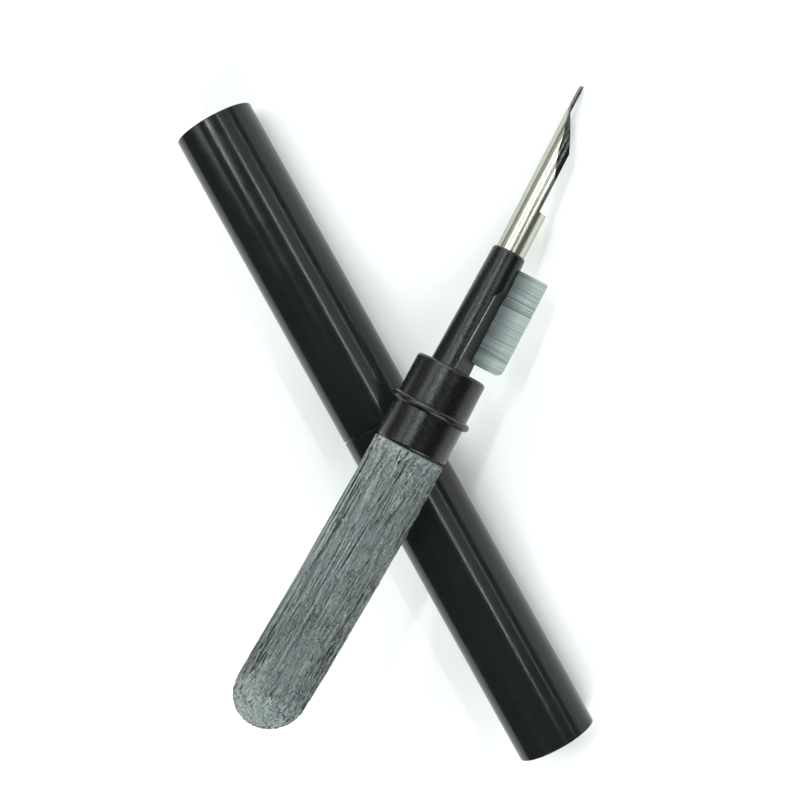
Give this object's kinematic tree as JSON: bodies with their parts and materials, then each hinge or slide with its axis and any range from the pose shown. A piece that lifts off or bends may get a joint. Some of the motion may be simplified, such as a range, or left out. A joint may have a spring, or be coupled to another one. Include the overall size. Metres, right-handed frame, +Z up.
{
  "type": "lens cleaning pen",
  "caption": "Cleaning pen: a glossy black capped barrel with its cleaning tool lying across it, foam at one end, side bristles and a cut steel nib at the other.",
  "frame": {"origin": "centre of the sponge cap's closed end, on the barrel's axis", "axes": "+X along the barrel, out of the sponge cap's mouth towards the tip cap; +Z up from the table it lies on"},
  "size_m": [0.1165, 0.0886, 0.0363],
  "materials": {
    "barrel_gloss": "polished",
    "tool_black": "lightly scuffed gloss",
    "core_gloss": "polished",
    "post_plastic": "moulded",
    "flocked_foam": "flocked",
    "bristle_nylon": "fine nylon filament",
    "anchor_wire": "drawn",
    "nib_steel": "bright rolled"
  },
  "bodies": {
    "sponge_cap": {"sponge_cap": "barrel_gloss"},
    "tip_cap": {"tip_cap": "barrel_gloss"},
    "tool": {"coupler": "tool_black", "stop_ring": "tool_black", "sponge": "flocked_foam", "sponge_post": "post_plastic", "brush_stem": "tool_black", "bristle_tuft_1": "bristle_nylon", "bristle_tuft_2": "bristle_nylon", "bristle_tuft_3": "bristle_nylon", "bristle_tuft_4": "bristle_nylon", "bristle_tuft_5": "bristle_nylon", "bristle_tuft_6": "bristle_nylon", "tuft_anchors": "anchor_wire", "nib": "nib_steel", "nib_core": "core_gloss"}
  },
  "joints": [
    {"name": "tip_cap_pull", "type": "slide", "parent": "sponge_cap", "child": "tip_cap", "axis": [1, 0, 0], "range_m": [0, 0.07]},
    {"name": "tool_lift", "type": "slide", "parent": "sponge_cap", "child": "tool", "axis": [0, 0, 1], "range_m": [0, 0.04]}
  ]
}
